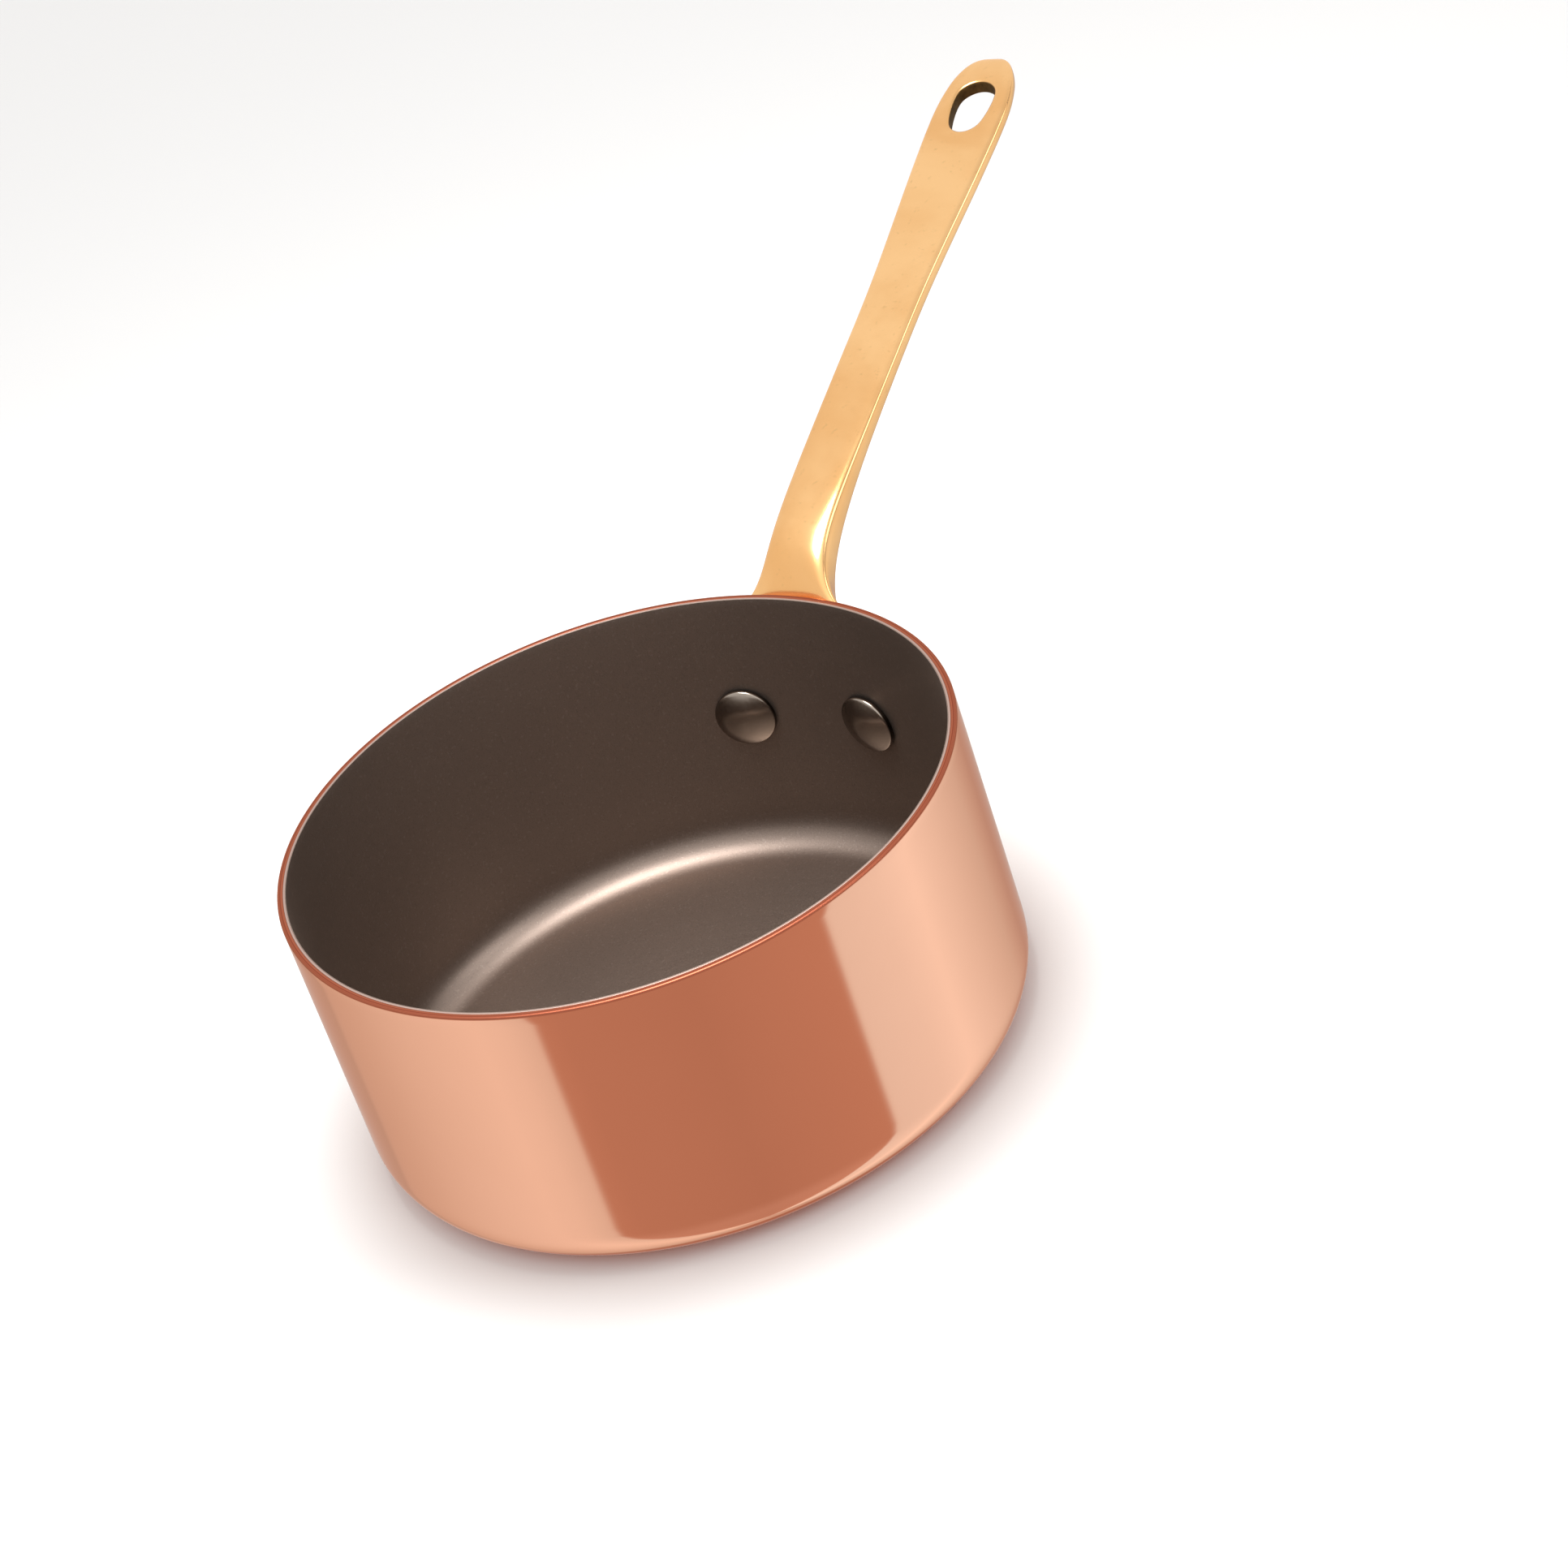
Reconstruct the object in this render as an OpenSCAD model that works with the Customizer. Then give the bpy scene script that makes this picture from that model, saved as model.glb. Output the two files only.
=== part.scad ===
// Copper saucepan: a spun copper pan with a light-metal lining and a dark non-stick coating,
// and a cast brass handle whose curved flange is held to the wall by two rivets.
// Millimetres. The origin is the centre of the resting face, +Z is up, the handle runs along +X.

/* [Pan] */
// Outside diameter of the pan
pan_d = 160; // [110:1:260]
// Height of the rim above the resting face
pan_h = 73; // [60:1:150]
// Outside radius where the wall turns into the base
corner_r = 11; // [5:0.5:20]
// Rounding of the outer edge of the rim
rim_round = 0.5; // [0.2:0.1:1]

/* [Layers] */
// Thickness of the copper
copper_t = 1.5; // [0.8:0.1:3]
// Thickness of the light-metal lining
lining_t = 0.5; // [0.2:0.1:1.5]
// Thickness of the non-stick coating
coating_t = 0.2; // [0.1:0.05:0.5]

/* [Handle] */
// Level reach of the handle, from the wall to its tip
handle_reach = 154.5; // [110:1:240]
// Slope of the straight part above level, in degrees
handle_slope = 20.3; // [5:0.1:35]
// Height over the rim at which the straight top line would meet the wall
handle_start = 3.5; // [-2:0.5:12]
// Width of the grip where it is narrowest
handle_w = 16.2; // [11:0.5:22]
// Width of the broad end
handle_end_w = 21.4; // [16:0.5:30]
// Upright thickness of the handle at its end
handle_t = 3.7; // [3:0.1:8]
// Extra thickness at the root, which fades along the grip
root_extra_t = 11.6; // [4:0.1:15]
// Distance over which the extra thickness fades
root_fade = 21; // [15:1:45]
// Distance over which the top line bends up from the flange
root_bend = 6; // [3:0.2:12]
// Length of the widening towards the broad end
swell_len = 60; // [30:1:80]
// Length of the rounded tip
tip_len = 18.5; // [12:0.5:30]

/* [Hanging hole] */
// Width of the hole at its wide end, nearer the tip
hole_w = 12.2; // [6:0.2:15]
// Width of the hole at its narrow end
hole_narrow_w = 9.8; // [5:0.2:14]
// Length of the hole along the handle
hole_len = 16.4; // [15.2:0.2:24]
// Distance along the handle from the tip to the middle of the hole
hole_from_tip = 17.2; // [14:0.2:24]

/* [Flange] */
// Width of the flange across the wall
flange_w = 58; // [50:1:74]
// Height of the flange
flange_h = 42; // [32:1:46]
// Thickness of the flange at its edge
flange_t = 3; // [2:0.1:5]
// Height of the flange's middle above the rivets
flange_lift = 7; // [2:0.5:9]
// Rounding of the flange's outer edge
flange_round = 1; // [0.4:0.1:1.8]

/* [Rivets] */
// Straight distance between the two rivets where they pass the outside of the wall
rivet_pitch = 36; // [28:0.2:40]
// Depth of the rivets below the rim
rivet_drop = 33.2; // [26:0.1:42]
// Diameter of the shank
shank_d = 7; // [4:0.5:9]
// Diameter of the head inside the pan
head_d = 15.3; // [11:0.1:18]
// Height of the upright edge of the head inside the pan
head_edge = 1.2; // [0.5:0.1:2]
// Height of the low dome on the head inside the pan
head_dome = 1.9; // [1:0.1:3]
// Diameter of the hammered head on the flange
tail_d = 11.5; // [9:0.1:14]
// Height of the hammered head on the flange
tail_h = 2.6; // [1.5:0.1:4]

/* [Fits] */
// Radial clearance between a rivet's shank and its holes
shank_gap = 0.05; // [0.02:0.01:0.1]
// Gap between the flange and the wall it is drawn against
seat_gap = 0.05; // [0.02:0.01:0.1]
// Radial clearance around a hammered head in its spot face
spot_gap = 0.3; // [0.1:0.1:0.6]

/* [Hidden] */
$fn = 96;

pan_r = pan_d / 2;
lining_offset = copper_t;
coating_offset = copper_t + lining_t;
inner_offset = copper_t + lining_t + coating_t;
inner_r = pan_r - inner_offset;
least_corner = 1;       // the smallest inside corner that a thick wall may leave
past = 2;               // how far a cutter runs past what it cuts

shank_r = shank_d / 2;
head_r = head_d / 2;
tail_r = tail_d / 2;
rivet_z = pan_h - rivet_drop;
rivet_angle = asin(rivet_pitch / 2 / pan_r);
head_seat = sqrt(inner_r * inner_r - head_r * head_r);  // a flat head touches a hollow wall at its sides
tail_seat = pan_r + flange_t;

flange_z = rivet_z + flange_lift;
flange_top = flange_z + flange_h / 2;

// Shape of the casting: a small squareness gives an oval outline, a large one a bar with soft edges
flange_squareness = 2.3;
grip_squareness = 5.5;
side_flare = [4, 2.9];       // run in mm and power of the flare from the flange to the sides of the grip
under_flare = [3, 2.5];     // the same for the gusset under the root
square_flare = [6, 1];      // the same for the change from an oval to a bar
wrap_flare = [6, 2];        // the same for the way the casting follows the round wall
tip_fullness = 0.4;         // 0.5 is an ellipse; less is a blunter tip
tip_edge_power = 6;         // how late the thickness thins at the tip
last_station = 0.9995;      // share of the tip's length at which the casting closes

ring_points = 36;
edge_rings = 3;
grip_rings = 26;
tip_rings = 9;

function fade(d, flare) = pow(1 + max(d - flange_t, 0) / flare[0], -flare[1]);
function between(low, high, share) = low + (high - low) * share;
function ease(s) = let (c = min(max(s, 0), 1)) c * c * (3 - 2 * c);
function signed_pow(v, power) = sign(v) * pow(abs(v), power);

// Everything below is measured by d, the distance from the wall along +X
function straight_z(d) = pan_h + handle_start + d * tan(handle_slope);
function top_z(d) = straight_z(d)
    - (straight_z(flange_t) - flange_top) * exp(-max(d - flange_t, 0) / root_bend);
function bar_t(d) = handle_t + root_extra_t * exp(-max(d - flange_t, 0) / root_fade);
function casting_t(d) = between(bar_t(d), flange_h, fade(d, under_flare));
function swell(d) = ease((d - (handle_reach - tip_len - swell_len)) / swell_len);
function grip_half(d) = between(handle_w, handle_end_w, swell(d)) / 2;
function casting_half(d) = between(grip_half(d), flange_w / 2, fade(d, side_flare));
function tip_share(d) = max(d - (handle_reach - tip_len), 0) / tip_len;
function tip_half(d) = pow(1 - pow(tip_share(d), 2), tip_fullness);
function tip_thin(d) = sqrt(1 - pow(tip_share(d), tip_edge_power));
function squareness(d) = between(grip_squareness, flange_squareness, fade(d, square_flare));

// One point of the ring at station [d, inset], at the angle a around it
function ring_point(station, a) =
    let (
        d = station[0],
        inset = station[1],
        power = 2 / squareness(d),
        half = casting_half(d) * tip_half(d) - inset,
        upright = casting_t(d) / 2 * tip_thin(d) - inset,
        y = half * signed_pow(cos(a), power),
        sag = pan_r - sqrt(pan_r * pan_r - y * y)
    )
    [
        pan_r + d - sag * fade(d, wrap_flare),
        y,
        top_z(d) - casting_t(d) / 2 + upright * signed_pow(sin(a), power)
    ];

edge_stations = [for (i = [0:edge_rings]) let (a = 90 * i / edge_rings)
    [flange_t - flange_round * (1 - sin(a)), flange_round * (1 - cos(a))]];
grip_stations = [for (i = [1:grip_rings])
    let (share = pow(i / grip_rings, 1.7))
    [between(flange_t, handle_reach - tip_len, share), flange_round * fade(
        between(flange_t, handle_reach - tip_len, share), side_flare)]];
tip_stations = [for (i = [1:tip_rings])
    [handle_reach - tip_len * (1 - sin(90 * i / tip_rings) * last_station), 0]];
stations = concat([[-past, 0]], edge_stations, grip_stations, tip_stations);
last = len(stations) - 1;

function ring_faces(ring) = [for (i = [0:ring_points - 1])
    let (
        next = (i + 1) % ring_points,
        a = ring * ring_points + i,
        b = ring * ring_points + next,
        c = (ring + 1) * ring_points + next,
        e = (ring + 1) * ring_points + i
    )
    each [[a, b, c], [a, c, e]]];

// Half-section of a closed cup of this radius, with its floor at floor_z
module cup_section(radius, floor_z, corner) {
    translate([0, floor_z + corner]) square([radius, pan_h - floor_z - corner]);
    translate([0, floor_z]) square([radius - corner, corner + past]);
    translate([radius - corner, floor_z + corner]) circle(corner);
}

// Half-section of one layer that starts "outside" in from the pan's surface
module layer_section(outside, thickness) {
    inside = outside + thickness;
    difference() {
        cup_section(pan_r - outside, outside, max(corner_r - outside, least_corner));
        cup_section(pan_r - inside, inside, max(corner_r - inside, least_corner));
        translate([0, pan_h - past / 2]) square([pan_r - inside, past]);
    }
}

// Cuts the top outer edge of the rim to a small round
module rim_edge_cut() {
    difference() {
        translate([pan_r - rim_round, pan_h - rim_round]) square(past);
        translate([pan_r - rim_round, pan_h - rim_round]) circle(rim_round);
    }
}

// Puts what follows on one rivet's line, with local Z pointing out through the wall
module on_rivet(side) {
    rotate([0, 0, side * rivet_angle])
        translate([0, 0, rivet_z])
            rotate([0, 90, 0])
                children();
}

module rivet_holes() {
    for (side = [-1, 1])
        on_rivet(side)
            translate([0, 0, head_seat - copper_t - past])
                cylinder(r = shank_r + shank_gap, h = tail_seat - head_seat + copper_t + 6 * past);
}

module spot_faces() {
    for (side = [-1, 1])
        on_rivet(side)
            translate([0, 0, tail_seat])
                cylinder(r = tail_r + spot_gap, h = tail_h + 4 * past);
}

module hanging_hole() {
    wide_r = hole_w / 2;
    narrow_r = hole_narrow_w / 2;
    d = handle_reach - hole_from_tip * cos(handle_slope);
    translate([pan_r + d, 0, straight_z(d)])
        rotate([0, -handle_slope, 0])
            translate([0, 0, -handle_t - 2 * past])
                linear_extrude(handle_t + 4 * past)
                    hull() {
                        translate([hole_len / 2 - wide_r, 0]) circle(wide_r, $fn = 48);
                        translate([narrow_r - hole_len / 2, 0]) circle(narrow_r, $fn = 48);
                    }
}

// Half-section, rising along Y, of a disc of this radius with a low dome on it
module domed_disc_section(radius, disc_h, dome_h) {
    ball_r = (radius * radius + dome_h * dome_h) / (2 * dome_h);
    intersection() {
        translate([0, disc_h + dome_h - ball_r]) circle(ball_r);
        square([radius, disc_h + dome_h]);
    }
}

module rivet(side) {
    color([0.42, 0.39, 0.36])
        on_rivet(side)
            rotate_extrude() {
                translate([0, head_seat - head_edge / 2])
                    square([shank_r, tail_seat + tail_h / 2 - head_seat + head_edge / 2]);
                translate([0, head_seat]) mirror([0, 1]) domed_disc_section(head_r, head_edge, head_dome);
                translate([0, tail_seat]) domed_disc_section(tail_r, 0, tail_h);
            }
}

module copper_body() {
    color([0.86, 0.54, 0.42])
        difference() {
            rotate_extrude()
                difference() {
                    layer_section(0, copper_t);
                    rim_edge_cut();
                }
            rivet_holes();
        }
}

module inner_lining() {
    color([0.80, 0.78, 0.78])
        difference() {
            rotate_extrude() layer_section(lining_offset, lining_t);
            rivet_holes();
        }
}

module nonstick_coating() {
    color([0.28, 0.23, 0.20])
        difference() {
            rotate_extrude() layer_section(coating_offset, coating_t);
            rivet_holes();
        }
}

module handle() {
    color([0.95, 0.77, 0.50])
        difference() {
            polyhedron(
                points = [for (station = stations) for (i = [0:ring_points - 1])
                    ring_point(station, 360 * i / ring_points)],
                faces = concat(
                    [[for (i = [ring_points - 1:-1:0]) i]],
                    [for (ring = [0:last - 1]) each ring_faces(ring)],
                    [[for (i = [0:ring_points - 1]) last * ring_points + i]]
                )
            );
            cylinder(r = pan_r + seat_gap, h = pan_h + past);
            rivet_holes();
            spot_faces();
            hanging_hole();
        }
}

module rivet_left() { rivet(1); }

module rivet_right() { rivet(-1); }

copper_body();
inner_lining();
nonstick_coating();
handle();
rivet_left();
rivet_right();
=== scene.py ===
# %% [markdown]
# # A copper saucepan with a cast brass handle
#
# The real pan is spun from copper that has a light-metal lining pressed into it, and the lining
# carries a dark non-stick coating. Two rivets hold a cast brass handle to the wall. The measured
# model of it is loaded first. Every piece below is drawn in metres in that same frame: the origin
# is the centre of the resting face, +Z is up, and the handle runs along +X.

# %% Load the measured model
import math
import bmesh
import bpy
from mathutils import Matrix, Vector


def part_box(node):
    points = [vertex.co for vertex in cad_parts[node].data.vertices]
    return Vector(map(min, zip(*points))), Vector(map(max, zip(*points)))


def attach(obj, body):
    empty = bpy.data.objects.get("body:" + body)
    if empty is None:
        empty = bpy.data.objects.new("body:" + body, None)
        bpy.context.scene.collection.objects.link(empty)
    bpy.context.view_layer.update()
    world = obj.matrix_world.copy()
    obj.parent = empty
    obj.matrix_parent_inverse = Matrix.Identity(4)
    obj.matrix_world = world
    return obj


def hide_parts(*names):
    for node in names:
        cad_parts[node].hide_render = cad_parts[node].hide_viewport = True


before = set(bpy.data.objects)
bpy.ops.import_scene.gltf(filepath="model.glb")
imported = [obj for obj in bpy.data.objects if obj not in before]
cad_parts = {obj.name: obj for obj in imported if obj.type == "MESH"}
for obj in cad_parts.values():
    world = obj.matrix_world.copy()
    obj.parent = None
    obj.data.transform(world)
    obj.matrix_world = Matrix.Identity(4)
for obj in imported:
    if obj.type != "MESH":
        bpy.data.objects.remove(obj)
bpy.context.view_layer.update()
MM = 0.001
print("nodes:", ", ".join(sorted(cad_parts)))

# %% [markdown]
# ## The sizes that the pieces share
#
# Radii and heights are read from the boxes of the measured pieces, so a piece here always meets
# its neighbour there. Only the thickness of the layers and the rounding of the corner are written
# as numbers. Each layer lies inside the one before, so its corner is tighter by that thickness.

# %% Read the sizes
pan_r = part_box("copper_body")[1][0]
pan_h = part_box("copper_body")[1][2]
copper_in_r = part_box("inner_lining")[1][0]
copper_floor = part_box("inner_lining")[0][2]
lining_in_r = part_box("nonstick_coating")[1][0]
lining_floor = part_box("nonstick_coating")[0][2]
copper_t, lining_t, coating_t = 1.5 * MM, 0.5 * MM, 0.2 * MM
inner_r = lining_in_r - coating_t
inner_floor = lining_floor + coating_t
copper_corner = 11 * MM
lining_corner = copper_corner - copper_t
coating_corner = lining_corner - lining_t
inner_corner = coating_corner - coating_t
print("pan radius %.1f mm, height %.1f mm, inside radius %.1f mm" % (pan_r / MM, pan_h / MM, inner_r / MM))

# %% [markdown]
# ## Helpers for turned pieces
#
# A lathe or a spinning former makes a shape that is the same all the way round, so half a section
# is enough. A few points draw the half section, `bevel` rounds the corners that are round on the
# real piece, and `spin` turns it round the axis. Drawing a cylinder and scaling it would give the
# wall but not the rounded corner or the cut rim.

# %% Turn a half section into a piece
STEPS = 192


def draw_half_section(bm, corners, longest=2.2 * MM):
    """Draws the section from (radius, height, rounding) corners, rounds them and splits long edges."""
    points = [bm.verts.new((radius, 0, height)) for radius, height, _ in corners]
    for start, end in zip(points, points[1:]):
        bm.edges.new((start, end))
    for point, (_, _, rounding) in zip(points, corners):
        if rounding:
            segments = 4 if rounding < 1.5 * MM else 14
            bmesh.ops.bevel(bm, geom=[point], affect="VERTICES", offset=rounding,
                            segments=segments, profile=0.5, material=-1)
    for edge in [e for e in bm.edges if e.calc_length() > longest]:
        cuts = int(edge.calc_length() / longest)
        bmesh.ops.subdivide_edges(bm, edges=[edge], cuts=cuts)


def turn(bm, steps=STEPS):
    """Spins the half section round the Z axis and closes the seam and the poles."""
    bmesh.ops.spin(bm, geom=bm.verts[:] + bm.edges[:], cent=(0, 0, 0), axis=(0, 0, 1),
                   angle=math.tau, steps=steps, use_merge=True)
    bmesh.ops.remove_doubles(bm, verts=bm.verts, dist=1e-7)
    bmesh.ops.recalc_face_normals(bm, faces=bm.faces)


def finish_piece(bm, name, sharp=None):
    """Makes the object, smooth except where two faces meet at more than the sharp angle."""
    mesh = bpy.data.meshes.new(name)
    open_edges = sum(1 for e in bm.edges if not e.is_manifold)
    bm.to_mesh(mesh)
    bm.free()
    mesh.polygons.foreach_set("use_smooth", [True] * len(mesh.polygons))
    if sharp:
        mesh.set_sharp_from_angle(angle=math.radians(sharp))
    piece = bpy.data.objects.new(name, mesh)
    bpy.context.scene.collection.objects.link(piece)
    print("%s: %d faces, %d open edges" % (name, len(mesh.polygons), open_edges))
    return piece


def stand_for(piece, node):
    """The piece rides on the part and takes the node's place."""
    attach(piece, "root")
    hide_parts(node)


# %% [markdown]
# ## The copper body
#
# The outside wall stands straight up from a rounded corner. The top edge is turned square to the
# wall, and only its outer corner is eased. The inside of the copper follows the lining.

# %% Copper body
bm = bmesh.new()
draw_half_section(bm, [
    (0, 0, 0),
    (pan_r, 0, copper_corner),
    (pan_r, pan_h, 0.5 * MM),
    (copper_in_r, pan_h, 0.12 * MM),
    (copper_in_r, copper_floor, lining_corner),
    (0, copper_floor, 0),
])
turn(bm)
copper = finish_piece(bm, "copper_pan")
stand_for(copper, "copper_body")

# %% [markdown]
# ## The lining and the coating
#
# The lining shows only as a thin pale line at the rim. The coating covers everything inside it.
# Both are thin shells, drawn in the same way as the copper, each inside the one before.

# %% Lining and coating
bm = bmesh.new()
draw_half_section(bm, [
    (0, copper_floor, 0),
    (copper_in_r, copper_floor, lining_corner),
    (copper_in_r, pan_h, 0.06 * MM),
    (lining_in_r, pan_h, 0.06 * MM),
    (lining_in_r, lining_floor, coating_corner),
    (0, lining_floor, 0),
])
turn(bm)
lining = finish_piece(bm, "metal_lining")
stand_for(lining, "inner_lining")

bm = bmesh.new()
draw_half_section(bm, [
    (0, lining_floor, 0),
    (lining_in_r, lining_floor, coating_corner),
    (lining_in_r, pan_h, 0.03 * MM),
    (inner_r, pan_h, 0.08 * MM),
    (inner_r, inner_floor, inner_corner),
    (0, inner_floor, 0),
])
turn(bm)
coating = finish_piece(bm, "dark_coating")
stand_for(coating, "nonstick_coating")

# %% [markdown]
# ## The rivets
#
# Each rivet has a wide low head inside the pan, with an upright edge of about a millimetre, and a
# smaller hammered head on the flange. It is turned round Z first and then laid on its own line
# through the wall, which points straight out from the pan's axis.

# %% Rivets
rivet_z, rivet_pitch = 39.8 * MM, 36 * MM
rivet_angle = math.asin(rivet_pitch / 2 / pan_r)
shank_r, head_r, tail_r = 3.5 * MM, 7.65 * MM, 5.75 * MM
head_edge, head_dome, tail_h = 1.2 * MM, 1.9 * MM, 2.6 * MM
flange_thickness = 3 * MM
head_seat = math.sqrt(inner_r ** 2 - head_r ** 2)
tail_seat = pan_r + flange_thickness


def lay_on_rivet_line(bm, angle):
    """Lays a piece turned round Z onto a rivet's line, with its own Z pointing out."""
    lay_out = Matrix.Rotation(angle, 4, "Z") @ Matrix.Rotation(math.pi / 2, 4, "Y")
    bmesh.ops.transform(bm, matrix=Matrix.Translation((0, 0, rivet_z)) @ lay_out, verts=bm.verts)


def make_rivet(name, node, angle):
    bm = bmesh.new()
    head_side = head_seat - head_edge
    head_top = head_side - head_dome
    draw_half_section(bm, [
        (0, head_top, 0),
        (2.6 * MM, head_top + 0.2 * MM, 1.2 * MM),
        (5.2 * MM, head_top + 0.85 * MM, 1.2 * MM),
        (head_r, head_side, 0.35 * MM),
        (head_r, head_seat, 0.2 * MM),
        (shank_r, head_seat, 0),
        (shank_r, tail_seat, 0),
        (tail_r, tail_seat, 0.15 * MM),
        (4.5 * MM, tail_seat + 1.5 * MM, 1.2 * MM),
        (2.3 * MM, tail_seat + 2.4 * MM, 1.1 * MM),
        (0, tail_seat + tail_h, 0),
    ], longest=0.7 * MM)
    turn(bm, steps=96)
    lay_on_rivet_line(bm, angle)
    piece = finish_piece(bm, name, sharp=40)
    stand_for(piece, node)
    return piece


rivets = [make_rivet("rivet_head_left", "rivet_left", rivet_angle),
          make_rivet("rivet_head_right", "rivet_right", -rivet_angle)]

# %% [markdown]
# ## The brass handle: its lines
#
# The handle is one casting: a curved flange on the wall, a deep root that thins out along the
# grip, and a broad end with a hanging hole. These lines give its height, thickness and width at
# any distance from the wall. They are in millimetres, because a casting is easier to read so, and
# the finished casting is brought to metres at the end.

# %% Lines of the handle
slope = math.radians(20.3)
wall_r, rim_h = pan_r / MM, pan_h / MM
reach, tip_len, swell_len = 154.5, 18.5, 60
grip_w, end_w, end_t = 16.2, 21.4, 3.7
root_extra_t, root_fade, root_bend = 11.6, 21, 6
start_over_rim = 3.5
flange_t, flange_w, flange_h, flange_top = flange_thickness / MM, 58, 42, 67.8
side_flare, under_flare, square_flare, wrap_flare = (4, 2.9), (3, 2.5), (6, 1), (6, 2)
grip_square, flange_square = 5.5, 2.3
tip_fullness, tip_edge_power = 0.4, 6


def fade(d, flare):
    """1 at the flange, falling to 0 along the handle; a flare is its run in mm and its power."""
    run, power = flare
    return (1 + max(d - flange_t, 0) / run) ** -power


def wane(d, run):
    """1 at the flange, falling faster to 0 than a flare does."""
    return math.exp(-max(d - flange_t, 0) / run)


def between(low, high, share):
    return low + (high - low) * share


def ease(share):
    share = min(max(share, 0), 1)
    return share * share * (3 - 2 * share)


def straight_z(d):
    return rim_h + start_over_rim + d * math.tan(slope)


def top_z(d):
    return straight_z(d) - (straight_z(flange_t) - flange_top) * wane(d, root_bend)


def upright_t(d):
    bar = end_t + root_extra_t * wane(d, root_fade)
    return between(bar, flange_h, fade(d, under_flare))


def squareness(d):
    """Power of the section's outline: 2 is an ellipse, and a higher power is closer to a box."""
    return between(grip_square, flange_square, fade(d, square_flare))


def tip_share(d):
    return max(d - (reach - tip_len), 0) / tip_len


def half_w(d):
    grip = between(grip_w, end_w, ease((d - (reach - tip_len - swell_len)) / swell_len)) / 2
    flared = between(grip, flange_w / 2, fade(d, side_flare))
    return flared * (1 - tip_share(d) ** 2) ** tip_fullness


# %% [markdown]
# ## The brass handle: its cage
#
# The casting is a loft: a circle of points is laid at each station along the handle, pushed into
# the section that the lines give there, and bridged to the one before. The points crowd together
# at the long edges, so the subdivision keeps them crisp, and stay apart on the flats. Extruding a
# block would need every one of these widths set by hand.

# %% Points round one section
side_to_side = [1, 0.985, 0.93, 0.82, 0.6, 0.3, 0, -0.3, -0.6, -0.82, -0.93, -0.985, -1]
shares = side_to_side + side_to_side[-2:0:-1]
RING = len(shares)


def casting_point(d, y, above, inset=0):
    """Point at distance d and sideways place y, on the top (above = 1) or the bottom (above = -1)."""
    half, square = half_w(d), squareness(d)
    flat = max(1 - min(abs(y) / half, 1) ** square, 0) ** (1 / square)
    y = y * (half - inset) / half
    sag = wall_r - math.sqrt(wall_r ** 2 - y ** 2)
    upright = upright_t(d) / 2 * math.sqrt(1 - tip_share(d) ** tip_edge_power) - inset
    height = top_z(d) - upright_t(d) / 2 + above * upright * flat
    return Vector((wall_r + d - sag * fade(d, wrap_flare), y, height))


def lay_section(bm, d, inset=0):
    """Lays one ring of points on the section at distance d."""
    ring = bmesh.ops.create_circle(bm, segments=RING, radius=1)["verts"]
    for index, (point, share) in enumerate(zip(ring, shares)):
        above = 1 if index < len(side_to_side) else -1
        point.co = casting_point(d, share * half_w(d), above, inset)
    return ring


def loop_edges(points):
    """The edges that join neighbours in a closed list of points."""
    pairs = zip(points, points[1:] + points[:1])
    return [next(e for e in a.link_edges if e.other_vert(a) is b) for a, b in pairs]


# %% Loft the casting
hole_from_tip, hole_len, hole_wide_r, hole_narrow_r = 17.2, 16.4, 6.1, 4.9
hole_d = reach - hole_from_tip * math.cos(slope)
hole_half = hole_len / 2 * math.cos(slope)
# Each station is (distance from the wall, how far the section is drawn in)
hole_stations = [(hole_d + hole_half * share, 0) for share in (-1, -0.5, 0, 0.5, 1)]
edge_stations = [(0.05, 0), (0.6, 0), (2.0, 0), (2.5, 0.13), (2.87, 0.5), (3, 1.0)]
grip_ds = [between(flange_t, hole_d - hole_half - 2, (i / 26) ** 1.9) for i in range(1, 27)]
grip_stations = [(d, fade(d, side_flare)) for d in grip_ds]
tip_angles = (40, 50, 60, 69, 77, 83, 87.2)
tip_stations = [(reach - tip_len * (1 - math.sin(math.radians(a))), 0) for a in tip_angles]
stations = edge_stations + grip_stations + hole_stations
stations += [s for s in tip_stations if s[0] > hole_stations[-1][0] + 1.2]

bm = bmesh.new()
crease = bm.edges.layers.float.new("crease_edge")
hole_layer = bm.verts.layers.float.new("hole_wall")
rings = [lay_section(bm, d, inset) for d, inset in stations]
for ring, next_ring in zip(rings, rings[1:]):
    bmesh.ops.bridge_loops(bm, edges=loop_edges(ring) + loop_edges(next_ring))
bmesh.ops.contextual_create(bm, geom=rings[-1])
for left in range(len(side_to_side) - 1):
    corners = [rings[0][i % RING] for i in (left, left + 1, RING - left - 1, RING - left)]
    bmesh.ops.contextual_create(bm, geom=list(dict.fromkeys(corners)))
for edge in loop_edges(rings[0]):
    edge[crease] = 0.8
print("casting cage: %d sections of %d points" % (len(rings), RING))

# %% [markdown]
# ## The hanging hole
#
# The hole is cast in, with eased edges. Its place in the cage is a block of faces on the top and
# one below it. Each block is taken out, its border is pulled onto an oval and extruded inwards,
# and the two openings are bridged. A boolean would cut the hole too, but it would leave a hard edge
# and long thin faces that show as flaws in a polished surface.

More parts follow.
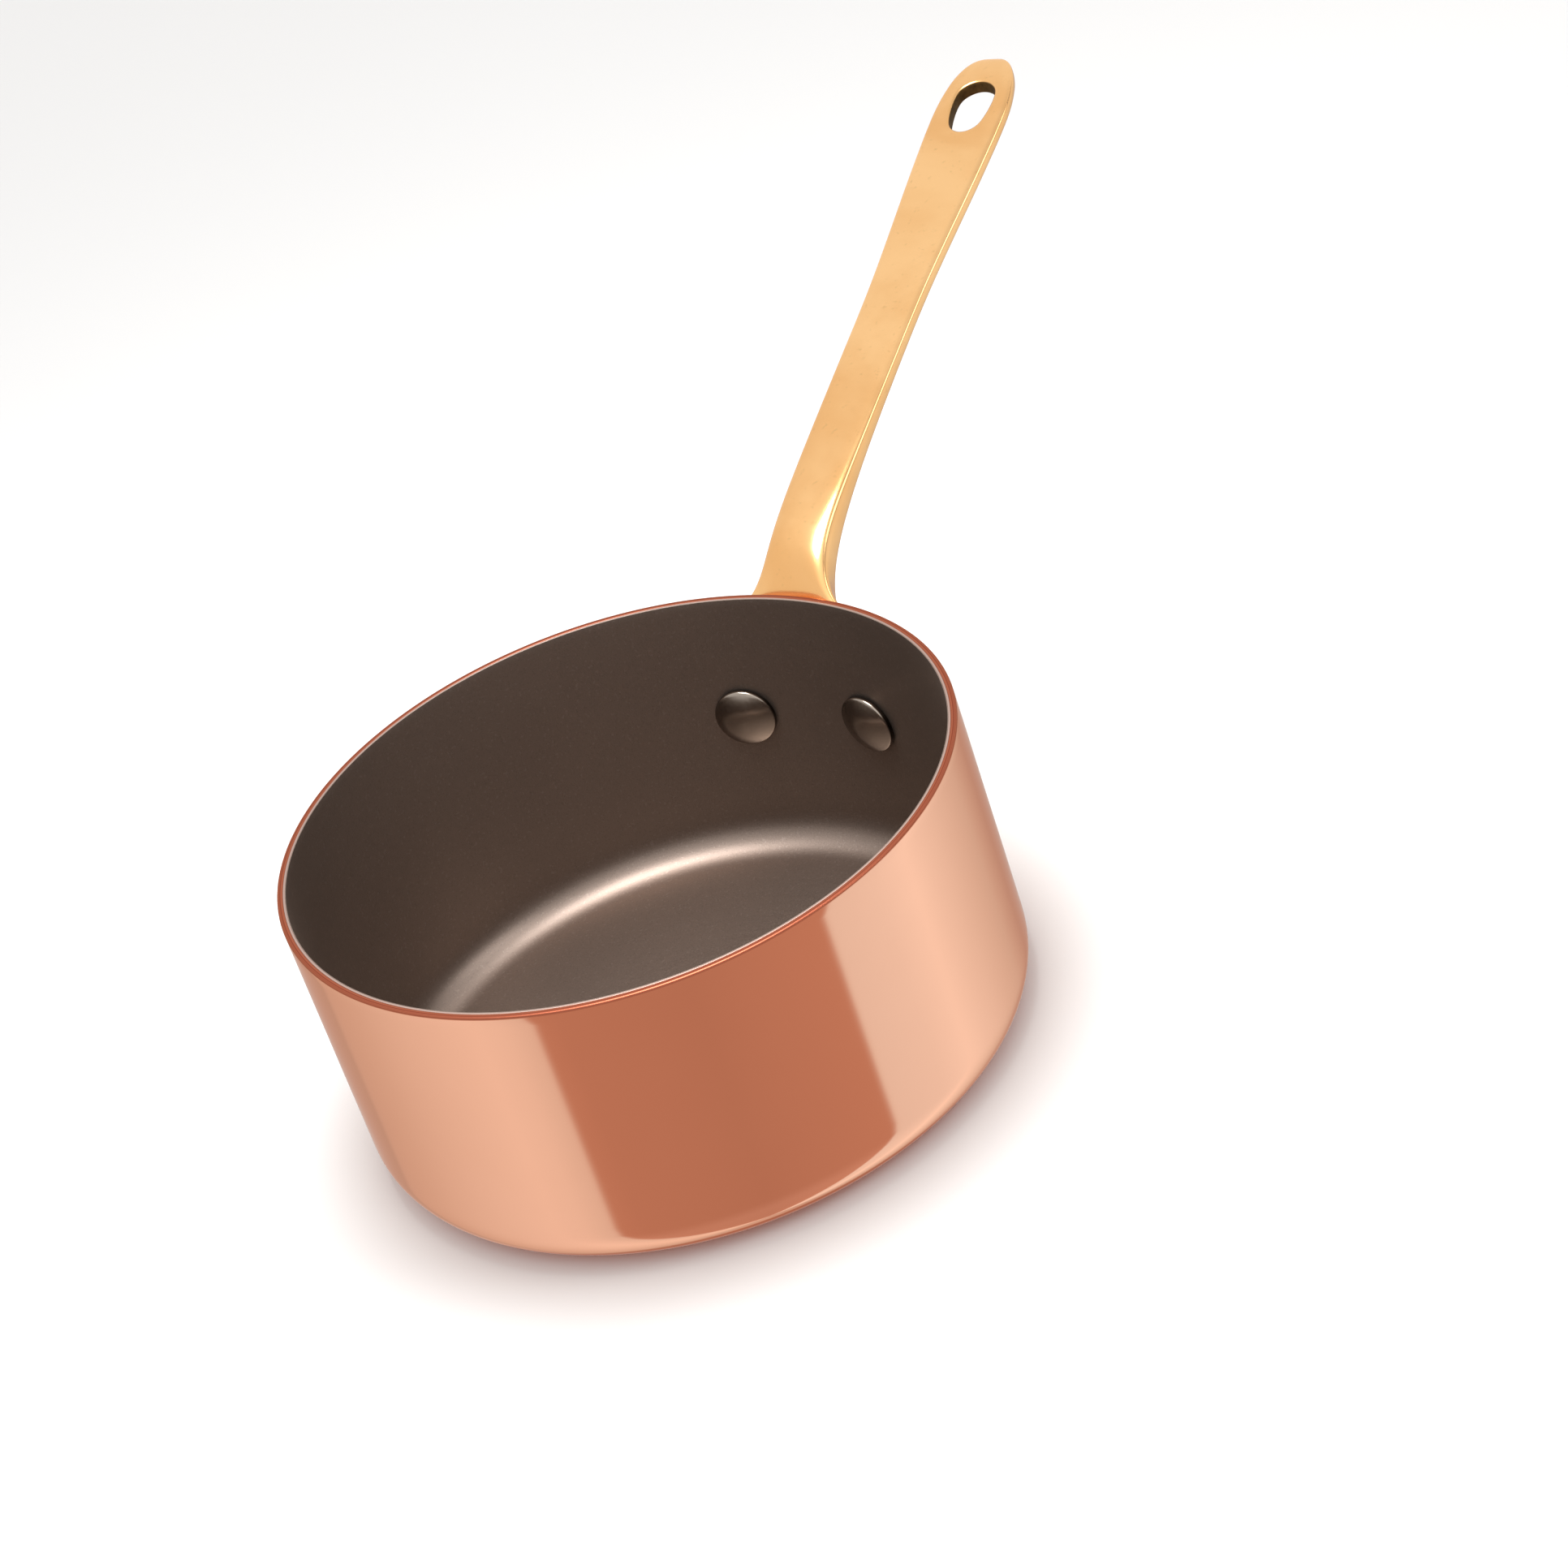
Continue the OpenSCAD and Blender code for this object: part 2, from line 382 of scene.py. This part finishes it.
# %% Cut the hole
def oval(index, grow):
    """Place on the oval, as (along the handle, sideways), of one of its 16 points, grown outwards."""
    angle = math.tau * index / 16
    narrow = ease((abs(math.degrees(math.atan2(math.sin(angle), math.cos(angle)))) - 70) / 40)
    centre = between(hole_len / 2 - hole_wide_r, hole_narrow_r - hole_len / 2, narrow)
    radius = between(hole_wide_r, hole_narrow_r, narrow) + grow
    return centre + radius * math.cos(angle), radius * math.sin(angle)


def place_on_oval(point, index, above, grow, sunk):
    along, side = oval(index, grow)
    point.co = casting_point(hole_d + along * math.cos(slope), side, above) - Vector((0, 0, above * sunk))


first = next(k for k, s in enumerate(stations) if s == hole_stations[0])
open_loops = []
for above in (1, -1):
    column = [(j if above > 0 else RING - j) for j in (4, 5, 6, 7, 8)]
    place = [(4, 2), (4, 1), (4, 0), (3, 0), (2, 0), (1, 0), (0, 0), (0, 1),
             (0, 2), (0, 3), (0, 4), (1, 4), (2, 4), (3, 4), (4, 4), (4, 3)]
    block_points = {rings[first + k][c] for k in range(5) for c in column}
    block = [f for f in bm.faces if all(v in block_points for v in f.verts)]
    bmesh.ops.delete(bm, geom=block, context="FACES")
    loop = [rings[first + k][column[j]] for k, j in place]
    for index, point in enumerate(loop):
        place_on_oval(point, index, above, 1.9, 0)
    for grow, sunk in ((0.55, 0.02), (0.05, 0.4), (0, 1.0)):
        before = set(loop)
        bmesh.ops.extrude_edge_only(bm, edges=loop_edges(loop))
        loop = [next(e.other_vert(v) for e in v.link_edges if e.other_vert(v).is_boundary
                     and e.other_vert(v) not in before) for v in loop]
        for index, point in enumerate(loop):
            place_on_oval(point, index, above, grow, sunk)
            point[hole_layer] = min(sunk * 2, 1)
    open_loops.append(loop)
bmesh.ops.bridge_loops(bm, edges=loop_edges(open_loops[0]) + loop_edges(open_loops[1]))
bmesh.ops.scale(bm, vec=(MM, MM, MM), verts=bm.verts)
bmesh.ops.recalc_face_normals(bm, faces=bm.faces)
handle = finish_piece(bm, "brass_handle")
smooth = handle.modifiers.new("rounding", "SUBSURF")
smooth.levels = smooth.render_levels = 2

# %% [markdown]
# ## The seats of the hammered heads
#
# Round each outer rivet head the flange is faced flat. A short turned cutter on the rivet's own
# line takes that metal away, after the subdivision, so the edge of the facing stays sharp.

# %% Face the seats
facing_r, facing_end = 6.05 * MM, tail_seat + 12 * MM


def facing_cutter(angle):
    bm = bmesh.new()
    draw_half_section(bm, [(0, tail_seat, 0), (facing_r, tail_seat, 0),
                           (facing_r, facing_end, 0), (0, facing_end, 0)])
    turn(bm, steps=64)
    lay_on_rivet_line(bm, angle)
    return finish_piece(bm, "facing_cutter")


cutters = [facing_cutter(rivet_angle), facing_cutter(-rivet_angle)]
for cutter in cutters:
    cut = handle.modifiers.new("facing", "BOOLEAN")
    cut.operation, cut.solver, cut.object = "DIFFERENCE", "EXACT", cutter
shaped = bpy.data.meshes.new_from_object(handle.evaluated_get(bpy.context.evaluated_depsgraph_get()))
handle.modifiers.clear()
handle.data = shaped
shaped.set_sharp_from_angle(angle=math.radians(38))
for cutter in cutters:
    bpy.data.objects.remove(cutter)
stand_for(handle, "handle")
print("handle: %d faces" % len(shaped.polygons))

# %% [markdown]
# ## Helpers for materials
#
# A material is a small tree of nodes. These helpers add a node with its settings and its values,
# or a link where the value is another node's output. The same few lines written out for each of
# the six materials and the room would hide what is different in each.

# %% Node helpers
def put(tree, kind, settings=(), **values):
    """Adds a node. A value that is a socket is linked, any other is typed in; _0 is the first input."""
    node = tree.nodes.new("ShaderNode" + kind)
    for name, setting in dict(settings).items():
        setattr(node, name, setting)
    for name, value in values.items():
        spot = node.inputs[int(name[1:])] if name[0] == "_" else node.inputs[name.replace("_", " ")]
        if isinstance(value, bpy.types.NodeSocket):
            tree.links.new(value, spot)
        else:
            spot.default_value = value
    return node


def calc(tree, operation, *values):
    """A Math node: calc(tree, "ADD", a, b)."""
    numbered = {"_%d" % index: value for index, value in enumerate(values)}
    return put(tree, "Math", {"operation": operation}, **numbered).outputs[0]


def blend(tree, share, first, second):
    """A colour mix from first to second."""
    node = put(tree, "Mix", {"data_type": "RGBA"}, _0=share)
    for spot, value in ((6, first), (7, second)):
        if isinstance(value, bpy.types.NodeSocket):
            tree.links.new(value, node.inputs[spot])
        else:
            node.inputs[spot].default_value = (*value, 1)
    return node.outputs[2]


def window(tree, value, low, high):
    """0 below low, 1 above high, smooth between."""
    return put(tree, "MapRange", {"interpolation_type": "SMOOTHSTEP"}, Value=value,
               From_Min=low, From_Max=high).outputs[0]


def start_group(name, inputs, outputs):
    """A shader node group with named sockets."""
    group = bpy.data.node_groups.new(name, "ShaderNodeTree")
    for label, kind, value in inputs:
        socket = group.interface.new_socket(name=label, in_out="INPUT", socket_type="NodeSocket" + kind)
        socket.default_value = value
    for label, kind in outputs:
        group.interface.new_socket(name=label, in_out="OUTPUT", socket_type="NodeSocket" + kind)
    return group, group.nodes.new("NodeGroupInput"), group.nodes.new("NodeGroupOutput")


def use_group(tree, group, **values):
    """Adds a shared group with its values, and gives its outputs."""
    return put(tree, "Group", {"node_tree": group}, **values).outputs


def start_material(name):
    material = bpy.data.materials.new(name)
    material.use_nodes = True
    tree = material.node_tree
    return material, tree, tree.nodes["Principled BSDF"]


def put_on(material, *pieces):
    for piece in pieces:
        piece.data.materials.clear()
        piece.data.materials.append(material)


# %% [markdown]
# ## Marks that the finishes share
#
# Turned metal keeps fine rings from the lathe or the polishing wheel. One group makes them for
# every turned piece: it takes the radius from the height, so the rings follow the wall as well as
# the floor, and reads one-dimensional noise along that path. A second group makes what hands and cloths
# leave: a slow waviness, fine short scratches and soft smears.

# %% Turning rings
rings_group, given, result = start_group(
    "Turning rings", [("Spacing", "Float", 0.0003)],
    [("Rings", "Float"), ("Radius", "Float"), ("Height", "Float")])
place = put(rings_group, "TexCoord").outputs["Object"]
split = put(rings_group, "SeparateXYZ", Vector=place)
radius = calc(rings_group, "SQRT", calc(rings_group, "ADD",
              calc(rings_group, "MULTIPLY", split.outputs[0], split.outputs[0]),
              calc(rings_group, "MULTIPLY", split.outputs[1], split.outputs[1])))
path = calc(rings_group, "SUBTRACT", split.outputs[2], radius)
path = calc(rings_group, "DIVIDE", path, given.outputs["Spacing"])
lines = put(rings_group, "TexNoise", {"noise_dimensions": "1D"}, W=path, Scale=1, Detail=3, Roughness=0.6)
for name, value in (("Rings", lines.outputs[0]), ("Radius", radius), ("Height", split.outputs[2])):
    rings_group.links.new(value, result.inputs[name])

# %% Hand polish
polish_group, given, result = start_group(
    "Hand polish", [("Wave size", "Float", 60.0), ("Scratch size", "Float", 900.0)],
    [("Waves", "Float"), ("Scratches", "Float"), ("Smears", "Float")])
place = put(polish_group, "TexCoord").outputs["Object"]
waves = put(polish_group, "TexNoise", Vector=place, Scale=given.outputs["Wave size"], Detail=1)
long_place = put(polish_group, "Mapping", Vector=place, Rotation=(0.5, 0.3, 0.8), Scale=(0.08, 1, 1))
scratches = put(polish_group, "TexNoise", Vector=long_place.outputs[0], Scale=given.outputs["Scratch size"],
                Detail=3)
smears = put(polish_group, "TexNoise", Vector=place, Scale=24, Detail=4, Roughness=0.55, Distortion=0.4)
for name, node in (("Waves", waves), ("Scratches", scratches), ("Smears", smears)):
    polish_group.links.new(node.outputs[0], result.inputs[name])
print("shared groups:", rings_group.name, "and", polish_group.name)

# %% [markdown]
# ## Polished copper
#
# The wall is polished almost to a mirror. The cut top edge is redder and duller, with rings from
# the lathe, and the underside of the corner is painted darker and redder, as a painted reflection of
# the shade under the pan.

# %% Copper
copper_skin, tree, shader = start_material("polished_copper")
marks = use_group(tree, rings_group, Spacing=0.0004)
polish = use_group(tree, polish_group, Wave_size=45.0, Scratch_size=700.0)
on_rim = window(tree, marks["Height"], pan_h - 0.62 * MM, pan_h - 0.36 * MM)
# Mask of the lowest few millimetres of the corner, painted dark red as a painted reflection of the shade
# under the pan
corner_painted_shade = window(tree, marks["Height"], 5.4 * MM, 4.4 * MM)
tone = blend(tree, polish["Smears"], (0.90, 0.51, 0.36), (0.94, 0.545, 0.39))
tone = blend(tree, corner_painted_shade, tone, (0.52, 0.13, 0.05))
rim_tone = blend(tree, window(tree, marks["Rings"], 0.3, 0.7), (0.25, 0.055, 0.03), (0.48, 0.155, 0.085))
tree.links.new(blend(tree, on_rim, tone, rim_tone), shader.inputs["Base Color"])
gloss = calc(tree, "MULTIPLY_ADD", polish["Smears"], 0.05, 0.05)
gloss = calc(tree, "ADD", gloss, calc(tree, "MULTIPLY", on_rim, 0.26))
tree.links.new(calc(tree, "ADD", gloss, calc(tree, "MULTIPLY", corner_painted_shade, 0.12)), shader.inputs["Roughness"])
shader.inputs["Metallic"].default_value = 1
shader.inputs["Specular Tint"].default_value = (0.92, 0.72, 0.63, 1)
height = calc(tree, "MULTIPLY_ADD", polish["Waves"], 0.6, calc(tree, "MULTIPLY", marks["Rings"], 0.012))
bump = put(tree, "Bump", Strength=0.1, Distance=0.0003, Height=height)
tree.links.new(bump.outputs[0], shader.inputs["Normal"])
put_on(copper_skin, copper)

# %% [markdown]
# ## The lining's bare edge and the coating
#
# The lining is turned off with the copper, so its edge is bright metal with the same fine rings.
# The coating is sprayed and baked: satin, dark brown, with a fine grain and tiny paler specks. Fine
# metal flake in it makes it catch light like a rough metal, so it is mostly metallic here.

# %% Lining
lining_skin, tree, shader = start_material("bare_lining")
marks = use_group(tree, rings_group, Spacing=0.00012)
tone = blend(tree, marks["Rings"], (0.36, 0.24, 0.20), (0.54, 0.40, 0.35))
tree.links.new(tone, shader.inputs["Base Color"])
tree.links.new(calc(tree, "MULTIPLY_ADD", marks["Rings"], 0.2, 0.32), shader.inputs["Roughness"])
shader.inputs["Metallic"].default_value = 1
bump = put(tree, "Bump", Strength=0.2, Distance=0.0001, Height=marks["Rings"])
tree.links.new(bump.outputs[0], shader.inputs["Normal"])
put_on(lining_skin, lining)

# %% Coating
coating_skin, tree, shader = start_material("satin_coating")
place = put(tree, "TexCoord").outputs["Object"]
marks = use_group(tree, rings_group, Spacing=0.0016)
grain = put(tree, "TexNoise", Vector=place, Scale=2600, Detail=2, Roughness=0.7).outputs[0]
specks = put(tree, "TexNoise", Vector=place, Scale=1500, Detail=0).outputs[0]
cloud = put(tree, "TexNoise", Vector=place, Scale=30, Detail=3).outputs[0]
tone = blend(tree, cloud, (0.235, 0.183, 0.154), (0.277, 0.218, 0.184))
tone = blend(tree, calc(tree, "MULTIPLY", window(tree, specks, 0.66, 0.78), 0.2), tone, (0.42, 0.36, 0.32))
tone = blend(tree, calc(tree, "MULTIPLY", window(tree, grain, 0.5, 0.3), 0.35), tone, (0.15, 0.12, 0.10))
tree.links.new(tone, shader.inputs["Base Color"])
rough = calc(tree, "MULTIPLY_ADD", grain, 0.10, 0.34)
rough = calc(tree, "ADD", rough, calc(tree, "MULTIPLY", marks["Rings"], 0.05))
tree.links.new(rough, shader.inputs["Roughness"])
shader.inputs["Metallic"].default_value = 0.92
shader.inputs["Specular Tint"].default_value = (0.80, 0.70, 0.64, 1)
bump = put(tree, "Bump", Strength=0.22, Distance=0.00012, Height=grain)
tree.links.new(bump.outputs[0], shader.inputs["Normal"])
put_on(coating_skin, coating)

# %% [markdown]
# ## Cast brass
#
# The casting is ground and polished by hand, so its flats are slightly wavy and its colour drifts a
# little. The wall of the hanging hole is left rough as cast, and its colour is painted almost black as
# painted shade inside the hole.

# %% Brass
brass_skin, tree, shader = start_material("polished_brass")
polish = use_group(tree, polish_group, Wave_size=130.0, Scratch_size=1100.0)
place = put(tree, "TexCoord").outputs["Object"]
pits = put(tree, "TexNoise", Vector=place, Scale=700, Detail=2, Roughness=0.6).outputs[0]
in_hole = window(tree, put(tree, "Attribute", {"attribute_name": "hole_wall"}).outputs["Fac"], 0.35, 0.85)
drift = window(tree, polish["Smears"], 0.36, 0.64)
tone = blend(tree, drift, (0.84, 0.465, 0.185), (0.94, 0.58, 0.27))
tone = blend(tree, calc(tree, "MULTIPLY", window(tree, pits, 0.62, 0.74), 0.35), tone, (0.70, 0.40, 0.16))
# Painted shade: the wall of the hanging hole is painted almost black
hole_painted_shade = blend(tree, pits, (0.03, 0.018, 0.008), (0.16, 0.09, 0.03))
tree.links.new(blend(tree, in_hole, tone, hole_painted_shade), shader.inputs["Base Color"])
gloss = calc(tree, "MULTIPLY_ADD", polish["Smears"], 0.14, 0.12)
tree.links.new(calc(tree, "MULTIPLY_ADD", in_hole, 0.45, gloss), shader.inputs["Roughness"])
shader.inputs["Metallic"].default_value = 1
height = calc(tree, "MULTIPLY_ADD", polish["Waves"], 1.0, calc(tree, "MULTIPLY", polish["Scratches"], 0.06))
bump = put(tree, "Bump", Strength=0.2, Distance=0.0003, Height=height)
tree.links.new(bump.outputs[0], shader.inputs["Normal"])
put_on(brass_skin, handle)

# %% [markdown]
# ## Dark steel of the rivets
#
# The rivet heads are dark polished steel. The upright edge of the head inside the pan is painted almost
# black, as painted shade where the head meets the coating.

# %% Rivet steel
rivet_skin, tree, shader = start_material("rivet_steel")
polish = use_group(tree, polish_group, Wave_size=180.0, Scratch_size=1500.0)
marks = use_group(tree, rings_group, Spacing=0.0005)
tone = blend(tree, polish["Smears"], (0.28, 0.24, 0.20), (0.44, 0.38, 0.33))
# Band of the head's upright edge next to the coating, painted almost black as painted shade at the joint
contact_shade_band = window(tree, marks["Radius"], head_seat - 1.0 * MM, head_seat - 0.5 * MM)
inside_wall = window(tree, marks["Radius"], pan_r, pan_r - 1 * MM)
tone = blend(tree, calc(tree, "MULTIPLY", contact_shade_band, inside_wall), tone, (0.05, 0.04, 0.034))
tree.links.new(tone, shader.inputs["Base Color"])
tree.links.new(calc(tree, "MULTIPLY_ADD", polish["Scratches"], 0.18, 0.12), shader.inputs["Roughness"])
shader.inputs["Metallic"].default_value = 1
bump = put(tree, "Bump", Strength=0.2, Distance=0.0002, Height=polish["Waves"])
tree.links.new(bump.outputs[0], shader.inputs["Normal"])
put_on(rivet_skin, *rivets)

# %% [markdown]
# ## The studio
#
# Polished metal shows little of its own colour and much of what stands round it. So the light is a
# soft white room whose brightness changes with the direction: a dark panel on the side that faces
# the pan's front, brighter screens beside it, one soft lamp for the long edge of the handle and a
# wide faint one above the camera. A round lamp hangs over the pan. It lights the inside corner of
# the dark coating, which would otherwise look flat, and whitens the floor. The floor is pale and
# plain.

# %% Soft room
world = bpy.data.worlds.new("soft_room")
bpy.context.scene.world = world
world.use_nodes = True
room = world.node_tree
room.nodes.clear()
direction = put(room, "TexCoord").outputs["Generated"]
split = put(room, "SeparateXYZ", Vector=direction)
turned = calc(room, "ARCTAN2", split.outputs[1], split.outputs[0])
turn_share = calc(room, "MULTIPLY_ADD", turned, 1 / math.tau, 0.5)
low_ramp = put(room, "ValToRGB", _0=turn_share)
white, warm, rosy, panel = (1, 1, 0.975), (1, 0.915, 0.85), (1, 0.84, 0.76), (0.55, 0.312, 0.232)
# Each stop is (degrees round the room, brightness, colour)
low_stops = [(-180, 0.98, panel), (-137, 0.92, panel), (-89, 1.06, panel), (-87, 0.88, white),
             (-66, 0.95, white), (-50, 1.06, white), (-40, 0.97, white), (-25, 0.86, white),
             (-8, 0.75, white), (10, 0.60, rosy), (25, 0.62, rosy), (55, 0.68, rosy),
             (79, 0.61, warm), (82, 0.71, warm), (100, 0.76, warm), (120, 0.84, warm),
             (150, 0.95, warm), (160, 0.91, warm), (170, 0.81, warm), (172, 1.04, panel),
             (180, 0.98, panel)]
stops = low_ramp.color_ramp.elements
while len(stops) < len(low_stops):
    stops.new(0.5)
for stop, (degrees, strength, colour) in zip(stops, low_stops):
    stop.position = degrees / 360 + 0.5
    stop.color = (*(strength * c for c in colour), 1)
zenith = window(room, split.outputs[2], 0.90, 0.98)
sky = blend(room, zenith, (1.0, 0.985, 0.97), (0.80, 0.79, 0.78))
above = window(room, split.outputs[2], -0.22, -0.02)
glow = calc(room, "MULTIPLY", window(room, split.outputs[2], -0.60, -0.90), 0.07)
low = put(room, "VectorMath", {"operation": "ADD"}, _0=low_ramp.outputs[0], _1=glow).outputs[0]
tones = blend(room, above, low, sky)


def soft_lamp(aim, inner, outer, strength):
    """Extra brightness round one direction: none beyond the cosine outer, all within inner."""
    near = put(room, "VectorMath", {"operation": "DOT_PRODUCT"}, _0=direction, _1=Vector(aim).normalized())
    return calc(room, "MULTIPLY", window(room, near.outputs["Value"], outer, inner), strength)


edge_lamp, wall_lamp = (0.23, -0.71, 0.64), (-0.45, -0.38, 0.80)
lamps = calc(room, "ADD", soft_lamp(edge_lamp, 0.985, 0.958, 3.0), soft_lamp(wall_lamp, 0.97, 0.80, 0.35))
# A dimmer ring round the edge lamp sets off its reflection in the brass with a darker line
lamps = calc(room, "ADD", lamps, soft_lamp(edge_lamp, 0.95, 0.84, -0.6))
lit = put(room, "VectorMath", {"operation": "ADD"}, _0=tones, _1=lamps)
path = put(room, "LightPath")
shown = blend(room, path.outputs["Is Camera Ray"], lit.outputs[0], (1, 1, 1))
background = put(room, "Background", Color=shown, Strength=1.0)
out = room.nodes.new("ShaderNodeOutputWorld")
room.links.new(background.outputs[0], out.inputs[0])

# %% Lamp over the pan
overhead = bpy.data.lights.new("overhead", "AREA")
overhead.shape, overhead.size, overhead.energy = "DISK", 0.22, 1.8
overhead_lamp = bpy.data.objects.new("overhead", overhead)
bpy.context.scene.collection.objects.link(overhead_lamp)
overhead_lamp.location = (0.015, 0.01, 0.45)
overhead_lamp.visible_camera = False
print("overhead lamp: %.2f W, %.0f mm across" % (overhead.energy, overhead.size / MM))

# %% Floor
bm = bmesh.new()
bmesh.ops.create_grid(bm, x_segments=1, y_segments=1, size=9)
floor = finish_piece(bm, "studio_floor")
floor_skin, tree, shader = start_material("pale_floor")
shader.inputs["Base Color"].default_value = (0.80, 0.80, 0.80, 1)
shader.inputs["Roughness"].default_value = 0.9
shader.inputs["Specular IOR Level"].default_value = 0.0
put_on(floor_skin, floor)
floor.visible_glossy = False

# %% [markdown]
# ## The camera
#
# The pan is seen from above and from its left front, with the camera rolled a little, so the
# handle rises to the upper right.

# %% Camera
lens = bpy.data.cameras.new("viewer")
lens.lens, lens.sensor_width = 100, 36
lens.clip_start, lens.clip_end = 0.05, 30
viewer = bpy.data.objects.new("viewer", lens)
bpy.context.scene.collection.objects.link(viewer)
aim = Vector((49.5, -7.6, 40)) * MM
azimuth, elevation, roll = math.radians(-51.04), math.radians(31.59), math.radians(-19.13)
distance, level = 1.026, math.cos(elevation)
back = Vector((math.sin(azimuth) * level, -math.cos(azimuth) * level, math.sin(elevation)))
turned_to = back.to_track_quat("Z", "Y").to_matrix().to_4x4() @ Matrix.Rotation(roll, 4, "Z")
viewer.matrix_world = Matrix.Translation(aim + back * distance) @ turned_to
bpy.context.scene.camera = viewer
print("camera right axis:", [round(v, 3) for v in turned_to.col[0][:3]])

# %% [markdown]
# ## Colours as the eye sees them
#
# The Standard view keeps the colours as they are mixed.

# %% Finish
bpy.context.scene.view_settings.view_transform = "Standard"
bpy.context.scene.view_settings.look = "None"
